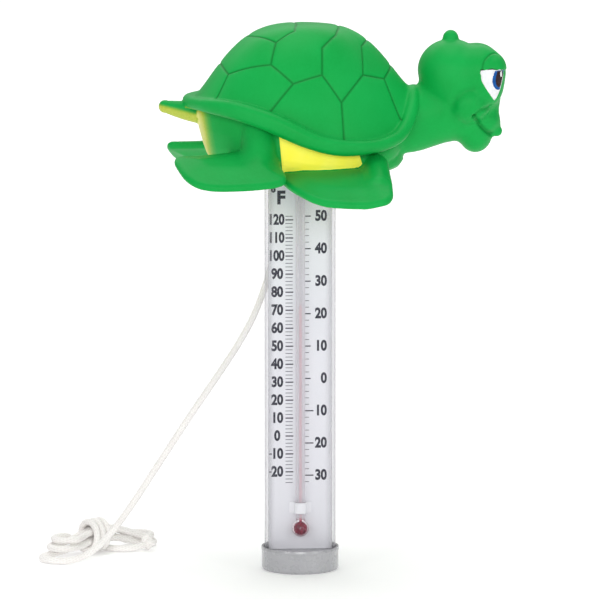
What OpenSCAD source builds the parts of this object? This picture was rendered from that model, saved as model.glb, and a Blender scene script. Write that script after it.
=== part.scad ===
// Floating pool thermometer. A hollow vinyl turtle floats on the water and holds a clear tube
// that hangs below it. Inside the tube a printed card carries a glass spirit thermometer. A
// push-on cap covers the foot, where a steel weight sits, and a braided lanyard ties it down.
//
// Origin: centre of the end cap's flat bottom face. +Z runs up the tube, +X towards the
// turtle's head, -Y is the side that the scale faces. Millimetres.

/* [Tube] */
// Outside diameter of the clear tube
tube_d = 30; // [28:0.5:31]
// Wall thickness of the clear tube
tube_wall = 1.5; // [1.2:0.1:1.8]
// Height of the tube's top end above the resting face
tube_top = 184.3; // [183.8:0.1:185.3]

/* [End cap] */
// Height of the push-on end cap
cap_h = 9.8; // [9.2:0.2:11]
// Wall thickness of the end cap
cap_wall = 1.15; // [0.9:0.05:1.4]
// Thickness of the end cap's floor
cap_floor = 2.2; // [1.6:0.1:2.6]

/* [Thermometer] */
// Height of the -20 degree F line
scale_low_z = 41.4; // [40:0.2:44]
// Length of one degree F on the scale
degree_mm = 0.764; // [0.74:0.002:0.77]
// Temperature that the spirit stands at, in degrees F
reading_f = 74; // [40:1:100]
// Height of the centre of the bulb
bulb_z = 17.5; // [17:0.1:18.5]
// Outside diameter of the glass bulb
bulb_d = 7; // [6.4:0.1:7.2]
// Outside diameter of the glass stem
stem_d = 3.8; // [3.4:0.1:4.2]
// Bore of the glass stem
bore_d = 1.2; // [1:0.1:1.4]

/* [Float] */
// Length of the turtle's shell over its rim
shell_l = 100; // [96:1:104]
// Width of the turtle's shell over its rim
shell_w = 84; // [80:1:88]
// Height of the top of the shell
shell_top = 231; // [228:0.5:234]
// Height of the flat belly
belly_z = 169; // [168.5:0.1:169.3]
// Thickness of the float's vinyl wall
vinyl = 2.4; // [2:0.1:2.8]

/* [Lanyard] */
// Diameter of the braided cord
cord_d = 3; // [2.5:0.1:3.2]
// Length of the tied hank
hank_l = 62; // [58:1:66]
// Width of the tied hank
hank_w = 17; // [15:0.5:19]
// Height of the tied hank
hank_h = 15; // [13:0.5:16]

/* [Hidden] */

// Smooth round surfaces of turned and moulded parts
$fn = 96;
float_fn = 20;

// Fits: a turning or sliding fit, and a gap between pieces that only pass each other
fit_gap = 0.05;
free_gap = 0.3;

tube_r = tube_d / 2;
tube_in_r = tube_r - tube_wall;
tube_low = cap_floor + fit_gap;

// Collar in the float's belly
collar_in_r = tube_r + fit_gap;
collar_wall = 2.45;
sleeve_r = collar_in_r + collar_wall;
flange_r = sleeve_r + 3;
flange_t = 2.6;
collar_low = belly_z - flange_t;
collar_top = tube_top - free_gap;
bead_r = sleeve_r + 0.8;
bead_h = 1.5;
seal_wire_r = 0.9;
seal_ring_r = tube_r + 0.02 + seal_wire_r;
seal_z = belly_z + 7;

// Lug below the collar's flange, with the eye that the cord is tied in
lug_t = 2.6;
lug_x = 6;
lug_y = 24;
lug_r = 4.5;
eye_r = 2.1;
eye_z = belly_z - 8.5;

// Plug in the tube's top end
plug_flange_r = tube_r + 1.6;
plug_flange_t = 2;
plug_depth = 8;

// Card and the glass in front of it
card_t = 0.8;
card_front = -0.6;
card_w = 2 * tube_in_r - 0.3;
card_low = 8.5;
card_high = tube_top - plug_depth - 3;
bulb_hole_d = bulb_d - 0.4;
stem_r = stem_d / 2;
bore_r = bore_d / 2;
stem_y = card_front - stem_r - fit_gap;
stem_high = card_high - 5;
bore_high = stem_high - 4;
bulb_wall = 0.6;
pool_r = bulb_d / 2 - bulb_wall;
zero_f_z = scale_low_z + 20 * degree_mm;
spirit_z = zero_f_z + reading_f * degree_mm;
spirit_low = bulb_z + pool_r + fit_gap;

// Clips that hold the stem on the card
clip_t = 0.7;
clip_w = 9.2;
clip_h = 4.5;
clip_low_z = 24.1;
clip_high_z = card_high - 12;

// Ballast in the tube's foot, just below the card
ballast_r = tube_in_r - 0.2;
ballast_low = tube_low + 0.3;
ballast_high = card_low - 0.15;

// Lanyard: the free stretch from the eye to the hank, which lies on the ground
knot_r = 3.5;
cord_sides = 8;
cord_steps = 3;
cord_route = [
  [10.5, 24, 160.5], [6, 24, 160.5], [2, 24, 160.2], [-1.5, 24, 158.5], [-4, 24, 155],
  [-5.5, 24, 150], [-7, 24, 142], [-9.5, 24, 131], [-13, 23.5, 118], [-18, 23, 105],
  [-24.5, 23, 93], [-32, 23, 81.5], [-39.5, 23, 70.5], [-47, 23, 59.5], [-54.5, 23, 48],
  [-62, 23, 36.5], [-69, 22, 26], [-76, 20.5, 16.5], [-83, 18, 8.8], [-90, 15.5, 3.8],
  [-97, 14.5, 1.8], [-103.5, 16, 1.6], [-108, 20.5, 1.6], [-108.5, 26.5, 1.6],
  [-104.5, 31, 1.7]
];
hank_at = [-82, 46];
hank_turn = 40;
end_knot_at = [16, -11.8];

// Shell: an oval in plan whose rim arches over the neck and dips at the flippers
rim_a = shell_l / 2;
rim_b = shell_w / 2;
rim_w = 5;
shell_x = 0.5;
apex_x = 2;
rim_low_z = 178.5;
rim_front_rise = 24;
rim_side_rise = 17.5;
rim_tail_rise = 3;
body_a = rim_a - 6.3;
body_b = rim_b - 7.5;
shell_steps = 44;
dome_rings = 8;

function smooth(u) = let (c = min(1, max(0, u))) c * c * (3 - 2 * c);

// Angle round the shell from the head, 0 at the front and 180 at the tail, on either side
function side_angle(t) = t <= 180 ? t : 360 - t;

// Height of the rim's lower edge at the angle t
function rim_z(t) =
  let (a = side_angle(t))
  rim_low_z
  + rim_front_rise * pow(max(0, cos(a)), 11)
  + rim_side_rise * smooth((a - 68) / 68)
  + rim_tail_rise * smooth((a - 130) / 50);

// Height of the crease between the dome and its rim
function crease_z(t) = rim_z(t) + 3.2 + 3.3 * pow(sin(t), 2);

// Fraction of the dome's height at the fraction s of its radius
function dome(s, t) = pow(1 - pow(s, 3.1), 1.4 - 0.45 * pow(sin(t), 2));

// A point at the fraction s of the crease oval
function dome_point(s, t, inset = 0) =
  let (a = rim_a - rim_w - inset, b = rim_b - rim_w - inset, top = shell_top - inset)
  [
    apex_x + s * (shell_x - apex_x + a * cos(t)),
    s * b * sin(t),
    crease_z(t) + (top - crease_z(t)) * dome(s, t)
  ];

// A point of the rim at the height z: u runs from the crease (0) to the outer edge (1)
function rim_point(u, z, t) =
  [
    shell_x + (rim_a - rim_w * (1 - u)) * cos(t),
    (rim_b - rim_w * (1 - u)) * sin(t),
    z
  ];

shell_angles = [for (i = [shell_steps - 1:-1:0]) (i + 0.5) * 360 / shell_steps];

// Joins rings of points, and one point at each end, into a closed solid
module ringed_solid(first, rings, last) {
  n = len(rings[0]);
  m = len(rings);
  points = concat([first], [for (r = rings) each r], [last]);
  tip = m * n + 1;
  near = [for (i = [0:n - 1]) [0, 1 + i, 1 + (i + 1) % n]];
  sides = [
    for (k = [0:m - 2], i = [0:n - 1])
      let (a = 1 + k * n + i, b = 1 + k * n + (i + 1) % n)
      each [[a, a + n, b + n], [a, b + n, b]]
  ];
  far = [
    for (i = [0:n - 1])
      [tip, 1 + (m - 1) * n + (i + 1) % n, 1 + (m - 1) * n + i]
  ];
  polyhedron(points = points, faces = concat(near, sides, far), convexity = 6);
}

// A point of the body's side below the rim: w runs from the rim (0) to the belly (1)
function side_point(w, narrow, t, inset = 0) =
  [
    (body_a - narrow - inset) * cos(t),
    (body_b - narrow - inset) * sin(t),
    (1 - w) * (rim_z(t) + 3) + w * (belly_z + inset)
  ];

// Rings of the dome, the rim and the body's side, from the top down
dome_part = [
  for (k = [1:dome_rings])
    [for (t = shell_angles) dome_point(k / dome_rings, t)]
];
rim_part = [
  [for (t = shell_angles) rim_point(0.35, crease_z(t) + 0.3, t)],
  [for (t = shell_angles) rim_point(0.85, crease_z(t) - 0.9, t)],
  [for (t = shell_angles) rim_point(1, rim_z(t) + 1.8, t)],
  [for (t = shell_angles) rim_point(0.9, rim_z(t) + 0.3, t)],
  [for (t = shell_angles) rim_point(0.6, rim_z(t), t)]
];

function side_part(inset) = [
  [for (t = shell_angles) side_point(0, 0.6, t, inset)],
  [for (t = shell_angles) side_point(0.4, 0, t, inset)],
  [for (t = shell_angles) side_point(0.72, 1.2, t, inset)],
  [for (t = shell_angles) side_point(0.92, 4.4, t, inset)],
  [for (t = shell_angles) side_point(1, 8.5, t, inset)]
];

module shell_and_body() {
  ringed_solid(
    [apex_x, 0, shell_top],
    concat(dome_part, rim_part, side_part(0)),
    [0, 0, belly_z]
  );
}

module cavity() {
  inner_dome = [
    for (k = [1:dome_rings])
      [for (t = shell_angles) dome_point(k / dome_rings, t, vinyl) + [0, 0, 0.8]]
  ];
  ringed_solid(
    [apex_x, 0, shell_top - vinyl],
    concat(inner_dome, side_part(vinyl)),
    [0, 0, belly_z + vinyl]
  );
}

module ball(p, r) {
  translate(p)
    rotate([0, 0, 90 / float_fn])
      sphere(r = r, $fn = float_fn);
}

module neck_solid(inset) {
  hull() {
    ball([34, 0, 191], 14 - inset);
    ball([59, 0, 194.5], 13.5 - inset);
  }
}

module head_solid(inset) {
  hull() {
    ball([67.5, 0, 206], 17.8 - inset);
    ball([73.5, 5, 209.5], 11.8 - inset);
    ball([73.5, -5, 209.5], 11.8 - inset);
    ball([74.5, 5.5, 197], 9.5 - inset);
    ball([74.5, -5.5, 197], 9.5 - inset);
  }
}

module muzzle_solid() {
  hull() {
    ball([76.2, 3.5, 192], 7.4);
    ball([76.2, -3.5, 192], 7.4);
    ball([79, 4, 188.4], 5.2);
    ball([79, -4, 188.4], 5.2);
  }
  hull() {
    ball([74.5, 0, 184], 7.8);
    ball([66, 0, 192], 11);
  }
}

module tail_solid() {
  hull() {
    ball([-41, 0, 194.5], 6.5);
    ball([-56.3, 0, 196.4], 2.8);
  }
}

// One side's front flipper, spread out and back from the shoulder
module front_flipper() {
  hull() {
    ball([28, 27, 174.5], 5.5);
    ball([31, 54, 165], 3.6);
    ball([24, 56.5, 162.6], 3);
    ball([4, 53.5, 164.2], 2.8);
    ball([-7.5, 46, 169.5], 2.2);
    ball([-4, 31, 173.5], 4);
  }
}

// One side's rear flipper, laid straight back from the hip
module rear_flipper() {
  hull() {
    ball([-14, 27, 176], 5.5);
    ball([-34, 24, 177], 4);
    ball([-50.5, 36, 175.8], 2.6);
    ball([-45, 46, 170.4], 2.8);
    ball([-32, 50, 168.8], 2.8);
    ball([-15, 48, 169.8], 2.8);
  }
}

module both_sides() {
  children();
  mirror([0, 1, 0])
    children();
}

// Moulded in one piece and hollow; the belly hole takes the collar
module turtle_float() {
  color("mediumseagreen")
    difference() {
      union() {
        shell_and_body();
        neck_solid(0);
        head_solid(0);
        muzzle_solid();
        ball([64, 0, 224.3], 3.7);
        tail_solid();
        both_sides() {
          front_flipper();
          rear_flipper();
        }
      }
      cavity();
      neck_solid(vinyl);
      head_solid(vinyl);
      translate([0, 0, belly_z - 1])
        cylinder(r = sleeve_r, h = 6, $fn = 64);
    }
}

// Rigid sleeve that is pushed into the belly hole and guides the tube
module float_collar() {
  color("seagreen")
    difference() {
      union() {
        translate([0, 0, collar_low])
          cylinder(r = flange_r, h = flange_t);
        translate([0, 0, belly_z])
          cylinder(r = sleeve_r, h = collar_top - belly_z);
        translate([0, 0, belly_z + vinyl + 0.2])
          cylinder(r = bead_r, h = bead_h);
        lanyard_lug();
      }
      translate([0, 0, collar_low - 1])
        cylinder(r = collar_in_r, h = collar_top - collar_low + 2);
      translate([0, 0, seal_z - seal_wire_r - 0.2])
        cylinder(r = seal_ring_r + seal_wire_r + 0.1, h = 2 * seal_wire_r + 0.4);
    }
}

module lanyard_lug() {
  translate([lug_x - lug_t / 2, 0, 0])
    rotate([90, 0, 90])
      linear_extrude(height = lug_t)
        difference() {
          union() {
            translate([lug_y, eye_z])
              circle(r = lug_r);
            translate([collar_in_r + 1.5, eye_z])
              square([lug_y - collar_in_r - 1.5 + lug_r, belly_z - flange_t / 2 - eye_z]);
          }
          translate([lug_y, eye_z])
            circle(r = eye_r);
        }
}

// Seals the tube in the collar and holds it where it is turned to
module collar_o_ring() {
  color("black")
    translate([0, 0, seal_z])
      rotate_extrude()
        translate([seal_ring_r, 0])
          circle(r = seal_wire_r, $fn = 32);
}

module outer_tube() {
  color("lightcyan", 0.35)
    translate([0, 0, tube_low])
      difference() {
        cylinder(r = tube_r, h = tube_top - tube_low);
        translate([0, 0, -1])
          cylinder(r = tube_in_r, h = tube_top - tube_low + 2);
      }
}

// Closes the tube's top; its flange hangs the tube on the collar
module tube_top_plug() {
  color("gainsboro")
    union() {
      translate([0, 0, tube_top])
        cylinder(r = plug_flange_r, h = plug_flange_t);
      translate([0, 0, tube_top - plug_depth])
        cylinder(r = tube_in_r, h = plug_depth);
    }
}

module scale_card() {
  color("white")
    translate([0, card_front, 0])
      difference() {
        translate([-card_w / 2, 0, card_low])
          cube([card_w, card_t, card_high - card_low]);
        translate([0, card_t / 2, bulb_z])
          rotate([90, 0, 0])
            cylinder(d = bulb_hole_d, h = card_t + 2, center = true);
      }
}

// Saddle over the stem with a foot on the card at each side
module stem_clip(z) {
  foot_y = card_front - clip_t;
  translate([0, 0, z])
    linear_extrude(height = clip_h)
      difference() {
        union() {
          translate([0, stem_y])
            circle(r = stem_r + fit_gap + clip_t);
          translate([-clip_w / 2, foot_y])
            square([clip_w, clip_t]);
        }
        translate([0, stem_y])
          circle(r = stem_r + fit_gap);
        translate([-clip_w, card_front])
          square([2 * clip_w, 3 * stem_r]);
        translate([-stem_r - fit_gap, stem_y])
          square([2 * (stem_r + fit_gap), card_front - stem_y]);
      }
}

module upper_stem_clip() {
  color("whitesmoke")
    stem_clip(clip_high_z);
}

module lower_stem_clip() {
  color("whitesmoke")
    stem_clip(clip_low_z);
}

module glass_stem_and_bulb() {
  color("azure", 0.4)
    translate([0, stem_y, 0])
      difference() {
        union() {
          translate([0, 0, bulb_z])
            sphere(r = bulb_d / 2);
          translate([0, 0, bulb_z])
            cylinder(r = stem_r, h = stem_high - bulb_z);
          translate([0, 0, stem_high])
            sphere(r = stem_r);
        }
        translate([0, 0, bulb_z])
          sphere(r = pool_r + 0.02);
        translate([0, 0, bulb_z])
          cylinder(r = bore_r, h = bore_high - bulb_z);
      }
}

module bulb_spirit() {
  color("firebrick")
    translate([0, stem_y, bulb_z])
      sphere(r = pool_r);
}

// Thread of spirit that lengthens and shortens with the temperature
module spirit_column() {
  color("crimson")
    translate([0, stem_y, spirit_low])
      cylinder(r = bore_r - 0.04, h = spirit_z - spirit_low);
}

module ballast_weight() {
  color("dimgray")
    translate([0, 0, ballast_low])
      cylinder(r = ballast_r, h = ballast_high - ballast_low);
}

// Soft cap, pushed over the tube's foot, with a slightly flared lip
module end_cap() {
  cap_r = tube_r + fit_gap + cap_wall;
  edge = 1.3;
  bottom_edge = [
    for (a = [-90:15:0])
      [cap_r - edge + edge * cos(a), edge + edge * sin(a)]
  ];
  color("darkgray")
    rotate_extrude()
      polygon(concat(
        [[0, 0]],
        bottom_edge,
        [
          [cap_r, cap_h - 1.9],
          [cap_r + 0.3, cap_h - 0.9],
          [cap_r + 0.1, cap_h],
          [tube_r + 0.5, cap_h],
          [tube_r + fit_gap, cap_h - 1.1],
          [tube_r + fit_gap, cap_floor],
          [0, cap_floor]
        ]
      ));
}

// Stopper knot behind the lug's eye
module lanyard_knot() {
  color("ivory")
    translate([lug_x + lug_t / 2 + knot_r, lug_y, eye_z])
      sphere(r = knot_r - 0.02, $fn = 32);
}

function spline(p, i, u) =
  let (
    n = len(p) - 1,
    a = p[max(0, i - 1)],
    b = p[i],
    c = p[min(n, i + 1)],
    d = p[min(n, i + 2)]
  )
  0.5 * (2 * b + (c - a) * u + (2 * a - 5 * b + 4 * c - d) * pow(u, 2)
         + (3 * b - a - 3 * c + d) * pow(u, 3));

function unit(v) = v / norm(v);

cord_line = concat(
  [
    for (i = [0:len(cord_route) - 2], k = [0:cord_steps - 1])
      spline(cord_route, i, k / cord_steps)
  ],
  [cord_route[len(cord_route) - 1]]
);

// Ring of points square to the line at its point i, with one corner kept to the Y side
function cord_ring(i) =
  let (
    n = len(cord_line) - 1,
    way = unit(cord_line[min(n, i + 1)] - cord_line[max(0, i - 1)]),
    side = unit(cross([0, 0.35, 1], way)),
    up = cross(way, side)
  )
  [
    for (k = [0:cord_sides - 1])
      let (a = k * 360 / cord_sides)
      cord_line[i] + cord_d / 2 * (cos(a) * side + sin(a) * up)
  ];

// Free stretch of the cord
module lanyard_cord() {
  last = len(cord_line) - 1;
  color("ivory")
    ringed_solid(cord_line[0], [for (i = [0:last]) cord_ring(i)], cord_line[last]);
}

// The rest of the cord, folded to and fro and tied round the middle
module lanyard_hank() {
  straight = hank_l - hank_w;
  color("ivory")
    translate([hank_at[0], hank_at[1], 0])
      rotate([0, 0, hank_turn])
        linear_extrude(height = hank_h)
          union() {
            square([straight, hank_w], center = true);
            translate([straight / 2, 0])
              circle(r = hank_w / 2);
            translate([-straight / 2, 0])
              circle(r = hank_w / 2);
          }
}

module lanyard_end_knot() {
  color("ivory")
    translate([hank_at[0], hank_at[1], knot_r])
      rotate([0, 0, hank_turn])
        translate(end_knot_at)
          sphere(r = knot_r, $fn = 32);
}

turtle_float();
float_collar();
collar_o_ring();
outer_tube();
tube_top_plug();
scale_card();
upper_stem_clip();
lower_stem_clip();
glass_stem_and_bulb();
bulb_spirit();
spirit_column();
ballast_weight();
end_cap();
lanyard_knot();
lanyard_cord();
lanyard_hank();
lanyard_end_knot();
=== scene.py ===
"""Floating pool thermometer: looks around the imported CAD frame."""
import itertools
import math

import bmesh
import bpy
import numpy as np
from mathutils import Matrix, Vector
from mathutils.bvhtree import BVHTree
from mathutils.geometry import delaunay_2d_cdt


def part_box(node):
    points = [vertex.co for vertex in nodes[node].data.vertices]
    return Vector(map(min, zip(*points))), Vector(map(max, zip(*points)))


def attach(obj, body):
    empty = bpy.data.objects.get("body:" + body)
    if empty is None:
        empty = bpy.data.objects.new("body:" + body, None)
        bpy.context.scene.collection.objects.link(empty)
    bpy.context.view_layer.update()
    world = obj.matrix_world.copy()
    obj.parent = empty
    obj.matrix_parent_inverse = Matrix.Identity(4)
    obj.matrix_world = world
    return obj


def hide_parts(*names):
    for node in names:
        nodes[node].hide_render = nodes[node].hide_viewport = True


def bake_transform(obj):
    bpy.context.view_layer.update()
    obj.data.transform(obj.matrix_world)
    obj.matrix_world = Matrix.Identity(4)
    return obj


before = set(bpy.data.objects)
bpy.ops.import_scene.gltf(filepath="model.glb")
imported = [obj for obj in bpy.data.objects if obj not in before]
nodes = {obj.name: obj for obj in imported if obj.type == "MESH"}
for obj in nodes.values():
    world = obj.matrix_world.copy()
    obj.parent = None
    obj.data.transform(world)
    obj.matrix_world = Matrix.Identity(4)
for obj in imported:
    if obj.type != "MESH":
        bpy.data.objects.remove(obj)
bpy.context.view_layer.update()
scene = bpy.context.scene
MM = 0.001


# ---- small helpers
def smooth(u):
    """0 up to 0, 1 from 1 on, and an even S between."""
    c = np.clip(u, 0, 1)
    return c * c * (3 - 2 * c)


def linked(name, mesh):
    """A new object of the mesh, in the scene."""
    obj = bpy.data.objects.new(name, mesh)
    scene.collection.objects.link(obj)
    return obj


def from_bmesh(name, bm):
    """A new object of the bmesh, which is used up."""
    mesh = bpy.data.meshes.new(name)
    bm.to_mesh(mesh)
    bm.free()
    return linked(name, mesh)


def shade_smooth(mesh):
    mesh.polygons.foreach_set("use_smooth", [True] * len(mesh.polygons))


def add_attribute(mesh, name, values):
    """One number for each point of the mesh, for its material to read."""
    attribute = mesh.attributes.new(name, "FLOAT", "POINT")
    attribute.data.foreach_set("value", np.asarray(values, np.float32).reshape(-1))


def dress(obj, material):
    obj.data.materials.clear()
    obj.data.materials.append(material)


def place(obj, material, body):
    """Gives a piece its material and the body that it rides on."""
    dress(obj, material)
    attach(obj, body)


def mesh_object(name, verts, faces):
    """A new smooth object from points in millimetres."""
    mesh = bpy.data.meshes.new(name)
    mesh.from_pydata([tuple(v) for v in np.asarray(verts) * MM], [], [tuple(f) for f in faces])
    mesh.validate()
    shade_smooth(mesh)
    return linked(name, mesh)


def skin(name, rings):
    """A new smooth object over a row of rings of points, closed at both ends."""
    n, sides = rings.shape[:2]
    i, k = np.meshgrid(np.arange(n - 1) * sides, np.arange(sides), indexing="ij")
    k2 = (k + 1) % sides
    quads = np.stack([i + k, i + k2, i + sides + k2, i + sides + k], axis=-1).reshape(-1, 4)
    caps = [range(sides - 1, -1, -1), range((n - 1) * sides, n * sides)]
    return mesh_object(name, rings.reshape(-1, 3), [*quads, *caps])


def catmull_rom(a, b, c, d, u):
    """The point at u on the curve from b to c."""
    square = 2 * a - 5 * b + 4 * c - d
    cube = 3 * b - a - 3 * c + d
    return 0.5 * (2 * b + (c - a) * u + square * u**2 + cube * u**3)


def spline_points(points, steps, closed=False):
    """Catmull-Rom points through the given ones, and on to the first one again where it is closed."""
    p = np.asarray(points, float)
    n = len(p)
    out = []
    for i in range(n if closed else n - 1):
        near = np.arange(i - 1, i + 3)
        four = p[near % n if closed else near.clip(0, n - 1)]
        out += [catmull_rom(*four, k / steps) for k in range(steps)]
    return np.array(out if closed else [*out, p[-1]])


def lengths(line):
    """How far along the line each of its points is."""
    return np.concatenate([[0], np.cumsum(np.linalg.norm(np.diff(line, axis=0), axis=1))])


def even(line, step):
    """The same line with points at an even spacing."""
    along = lengths(line)
    at = np.linspace(0, along[-1], int(math.ceil(along[-1] / step)) + 1)
    return np.stack([np.interp(at, along, line[:, k]) for k in range(3)], axis=1)


def softened(line, passes):
    """The line with its corners eased, ends kept."""
    line = line.copy()
    for _ in range(passes):
        line[1:-1] = 0.25 * line[:-2] + 0.5 * line[1:-1] + 0.25 * line[2:]
    return line


# ---- camera
CAMERA_AT = (-0.1535, -2.1946, 0.404)
CAMERA_TILT, CAMERA_PAN = math.radians(82.5), math.radians(-4)
LENS_MM, SENSOR_MM = 316.9, 36


def add_camera():
    data = bpy.data.cameras.new("camera")
    data.lens = LENS_MM
    data.sensor_width = SENSOR_MM
    data.clip_end = 50
    scene.camera = linked("camera", data)
    scene.camera.location = CAMERA_AT
    scene.camera.rotation_euler = (CAMERA_TILT, 0, CAMERA_PAN)


add_camera()


# ---- materials
# Height at which the bulb ends and the stem begins, in metres
BULB_TOP = 0.0205


class Nodes:
    """Builds one material's node tree."""

    def __init__(self, name):
        self.material = bpy.data.materials.new(name)
        self.material.use_nodes = True
        self.tree = self.material.node_tree
        self.tree.nodes.clear()
        self.out = self.add("ShaderNodeOutputMaterial")
        self.coord = self.add("ShaderNodeTexCoord")

    def add(self, kind, **values):
        """A node with its settings, and its inputs by their names with _ for a space."""
        node = self.tree.nodes.new(kind)
        for key, value in values.items():
            if hasattr(node, key):
                setattr(node, key, value)
            else:
                node.inputs[key.replace("_", " ")].default_value = value
        return node

    def link(self, a, b):
        self.tree.links.new(a, b)

    def fill(self, socket, value):
        """Links a socket to another one, or sets it to a number or a colour."""
        if isinstance(value, bpy.types.NodeSocket):
            self.link(value, socket)
        elif isinstance(value, tuple):
            socket.default_value = (*value, 1)
        else:
            socket.default_value = value

    def shader(self, colour, rough, **values):
        p = self.add("ShaderNodeBsdfPrincipled", Base_Color=(*colour, 1), Roughness=rough, **values)
        self.link(p.outputs[0], self.out.inputs[0])
        return p

    def put(self, kind, inputs, output, **values):
        """A node with sockets or values put into its inputs, and the output of it that is used."""
        node = self.add(kind, **values)
        for key, value in inputs.items():
            self.fill(node.inputs[key], value)
        return node.outputs[output]

    def noise(self, scale, detail, rough, stretch=None):
        spot = {"Vector": self.coord.outputs["Object"]}
        if stretch is not None:
            spot = {"Vector": self.put("ShaderNodeMapping", spot, 0, Scale=stretch)}
        return self.put("ShaderNodeTexNoise", spot, "Fac", Scale=scale, Detail=detail, Roughness=rough)

    def ramp(self, fac, stops):
        r = self.add("ShaderNodeValToRGB")
        while len(r.color_ramp.elements) < len(stops):
            r.color_ramp.elements.new(0.5)
        for e, (at, colour) in zip(r.color_ramp.elements, stops):
            e.position = at
            e.color = (*colour, 1)
        self.link(fac, r.inputs["Fac"])
        return r.outputs["Color"]

    def band(self, fac, low, high, to_low=0.0, to_high=1.0):
        ends = dict(From_Min=low, From_Max=high, To_Min=to_low, To_Max=to_high)
        return self.put("ShaderNodeMapRange", {"Value": fac}, "Result", **ends)

    def mix(self, fac, a, b):
        """A colour between a and b."""
        return self.put("ShaderNodeMix", {0: fac, 6: a, 7: b}, 2, data_type="RGBA")

    def maths(self, operation, a, b):
        return self.put("ShaderNodeMath", {0: a, 1: b}, 0, operation=operation)

    def attribute(self, name):
        return self.put("ShaderNodeAttribute", {}, "Fac", attribute_name=name)

    def bump(self, height, strength, distance, shader):
        made = self.put("ShaderNodeBump", {"Height": height}, 0, Strength=strength, Distance=distance)
        self.link(made, shader.inputs["Normal"])


def vinyl_material():
    """Painted soft vinyl: green, with the belly painted and the rear edge sprayed yellow, painted shade
    along the grooves and folds, and a faint painted glow on the yellow.
    """
    n = Nodes("turtle_vinyl")
    # The emission is painted light: a faint glow on the yellow paint that lifts it out of the shade under
    # the rim
    p = n.shader((0.01, 0.4, 0.06), 0.45, Specular_IOR_Level=0.15, Emission_Strength=0.2)
    wide = n.noise(28, 4, 0.55)
    green = n.ramp(wide, [(0.3, (0.0, 0.33, 0.047)), (0.7, (0.005, 0.405, 0.072))])
    fine = n.noise(900, 2, 0.6)
    green = n.mix(n.band(fine, 0.35, 0.75, 0.0, 0.25), green, (0.009, 0.425, 0.082))
    # Painted shade: darker green along the plate grooves and the head's folds
    green = n.mix(n.band(n.attribute("groove"), 0.08, 0.95, 0.0, 0.85), green, (0.0, 0.18, 0.025))
    mottle = n.noise(1500, 2, 0.7)
    edge = n.maths("ADD", n.attribute("spray"), n.maths("MULTIPLY", n.maths("SUBTRACT", mottle, 0.5), 0.16))
    cream = n.ramp(edge, [(0.3, (0.24, 0.5, 0.05)), (0.62, (0.52, 0.56, 0.05)), (0.98, (0.78, 0.76, 0.26))])
    green = n.mix(n.band(edge, 0.09, 0.75, 0.0, 0.96), green, cream)
    yellow = n.ramp(n.noise(60, 3, 0.5), [(0.35, (1.0, 0.87, 0.07)), (0.7, (1.0, 0.93, 0.16))])
    yellow = n.mix(n.band(n.attribute("belly"), 0.0, 0.5, 0.4, 0.0), yellow, (0.75, 0.74, 0.04))
    painted = n.band(n.attribute("belly"), -0.1, 0.1)
    n.link(n.mix(painted, green, yellow), p.inputs["Base Color"])
    # Painted light: the glow is yellow where the yellow paint is and black elsewhere
    n.link(n.mix(painted, (0.0, 0.0, 0.0), yellow), p.inputs["Emission Color"])
    n.link(n.band(wide, 0.3, 0.75, 0.4, 0.52), p.inputs["Roughness"])
    n.bump(n.noise(2600, 2, 0.5), 0.06, 0.00012, p)
    return n.material


def speckled(name, low, high, rough, noise, ends=(0.3, 0.7), gloss=None, grain=None, **values):
    """Two near colours in a noise; gloss spreads the roughness, and grain is a fine bump."""
    n = Nodes(name)
    p = n.shader(low, rough, **values)
    n.link(n.ramp(n.noise(*noise), list(zip(ends, (low, high)))), p.inputs["Base Color"])
    if gloss:
        spread, top, least, most = gloss
        n.link(n.band(n.noise(*spread), 0.3, top, rough * least, rough * most), p.inputs["Roughness"])
    if grain:
        scale, strength = grain
        n.bump(n.noise(scale, 2, 0.5), strength, 0.0001, p)
    return n.material


def plain_plastic(name, low, high, rough, grain=700, bump=0.05, **values):
    """Moulded plastic: a soft cloud of colour, an uneven gloss and a fine grain."""
    gloss = (grain, 2, 0.6), 0.75, 0.85, 1.2
    return speckled(name, low, high, rough, (45, 4, 0.55), (0.3, 0.72), gloss, (grain * 2, bump), **values)


def walled(n, tint, rough, gloss):
    """Sets up a mix of clear and glossy for a wall, and gives back how far edge on it is seen."""
    p = n.shader(
        tint, rough, IOR=1.49, Specular_IOR_Level=gloss, Coat_Weight=gloss / 2, Coat_Roughness=0.05
    )
    streak = n.noise(220, 3, 0.5, (1, 1, 0.06))
    n.wall = p
    n.colour = n.ramp(streak, [(0.3, tint), (0.7, tuple(min(1, c * 1.04) for c in tint))])
    n.link(n.colour, p.inputs["Base Color"])
    n.link(n.band(streak, 0.3, 0.7, rough * 0.8, rough * 1.3), p.inputs["Roughness"])
    clear = n.add("ShaderNodeBsdfTransparent", Color=(0.985, 0.985, 0.995, 1))
    facing = n.add("ShaderNodeLayerWeight", Blend=0.35)
    n.mixed = n.add("ShaderNodeMixShader")
    n.link(clear.outputs[0], n.mixed.inputs[1])
    n.link(p.outputs[0], n.mixed.inputs[2])
    n.link(n.mixed.outputs[0], n.out.inputs[0])
    return facing.outputs["Facing"]


def clear_material(name, tint, least, most, rough, gloss):
    """A thin clear wall: sight goes through it, and more light comes back where it is seen edge on."""
    n = Nodes(name)
    share = walled(n, tint, rough, gloss)
    n.link(n.band(share, 0.28, 1.0, least, most), n.mixed.inputs[0])
    return n.material


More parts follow.
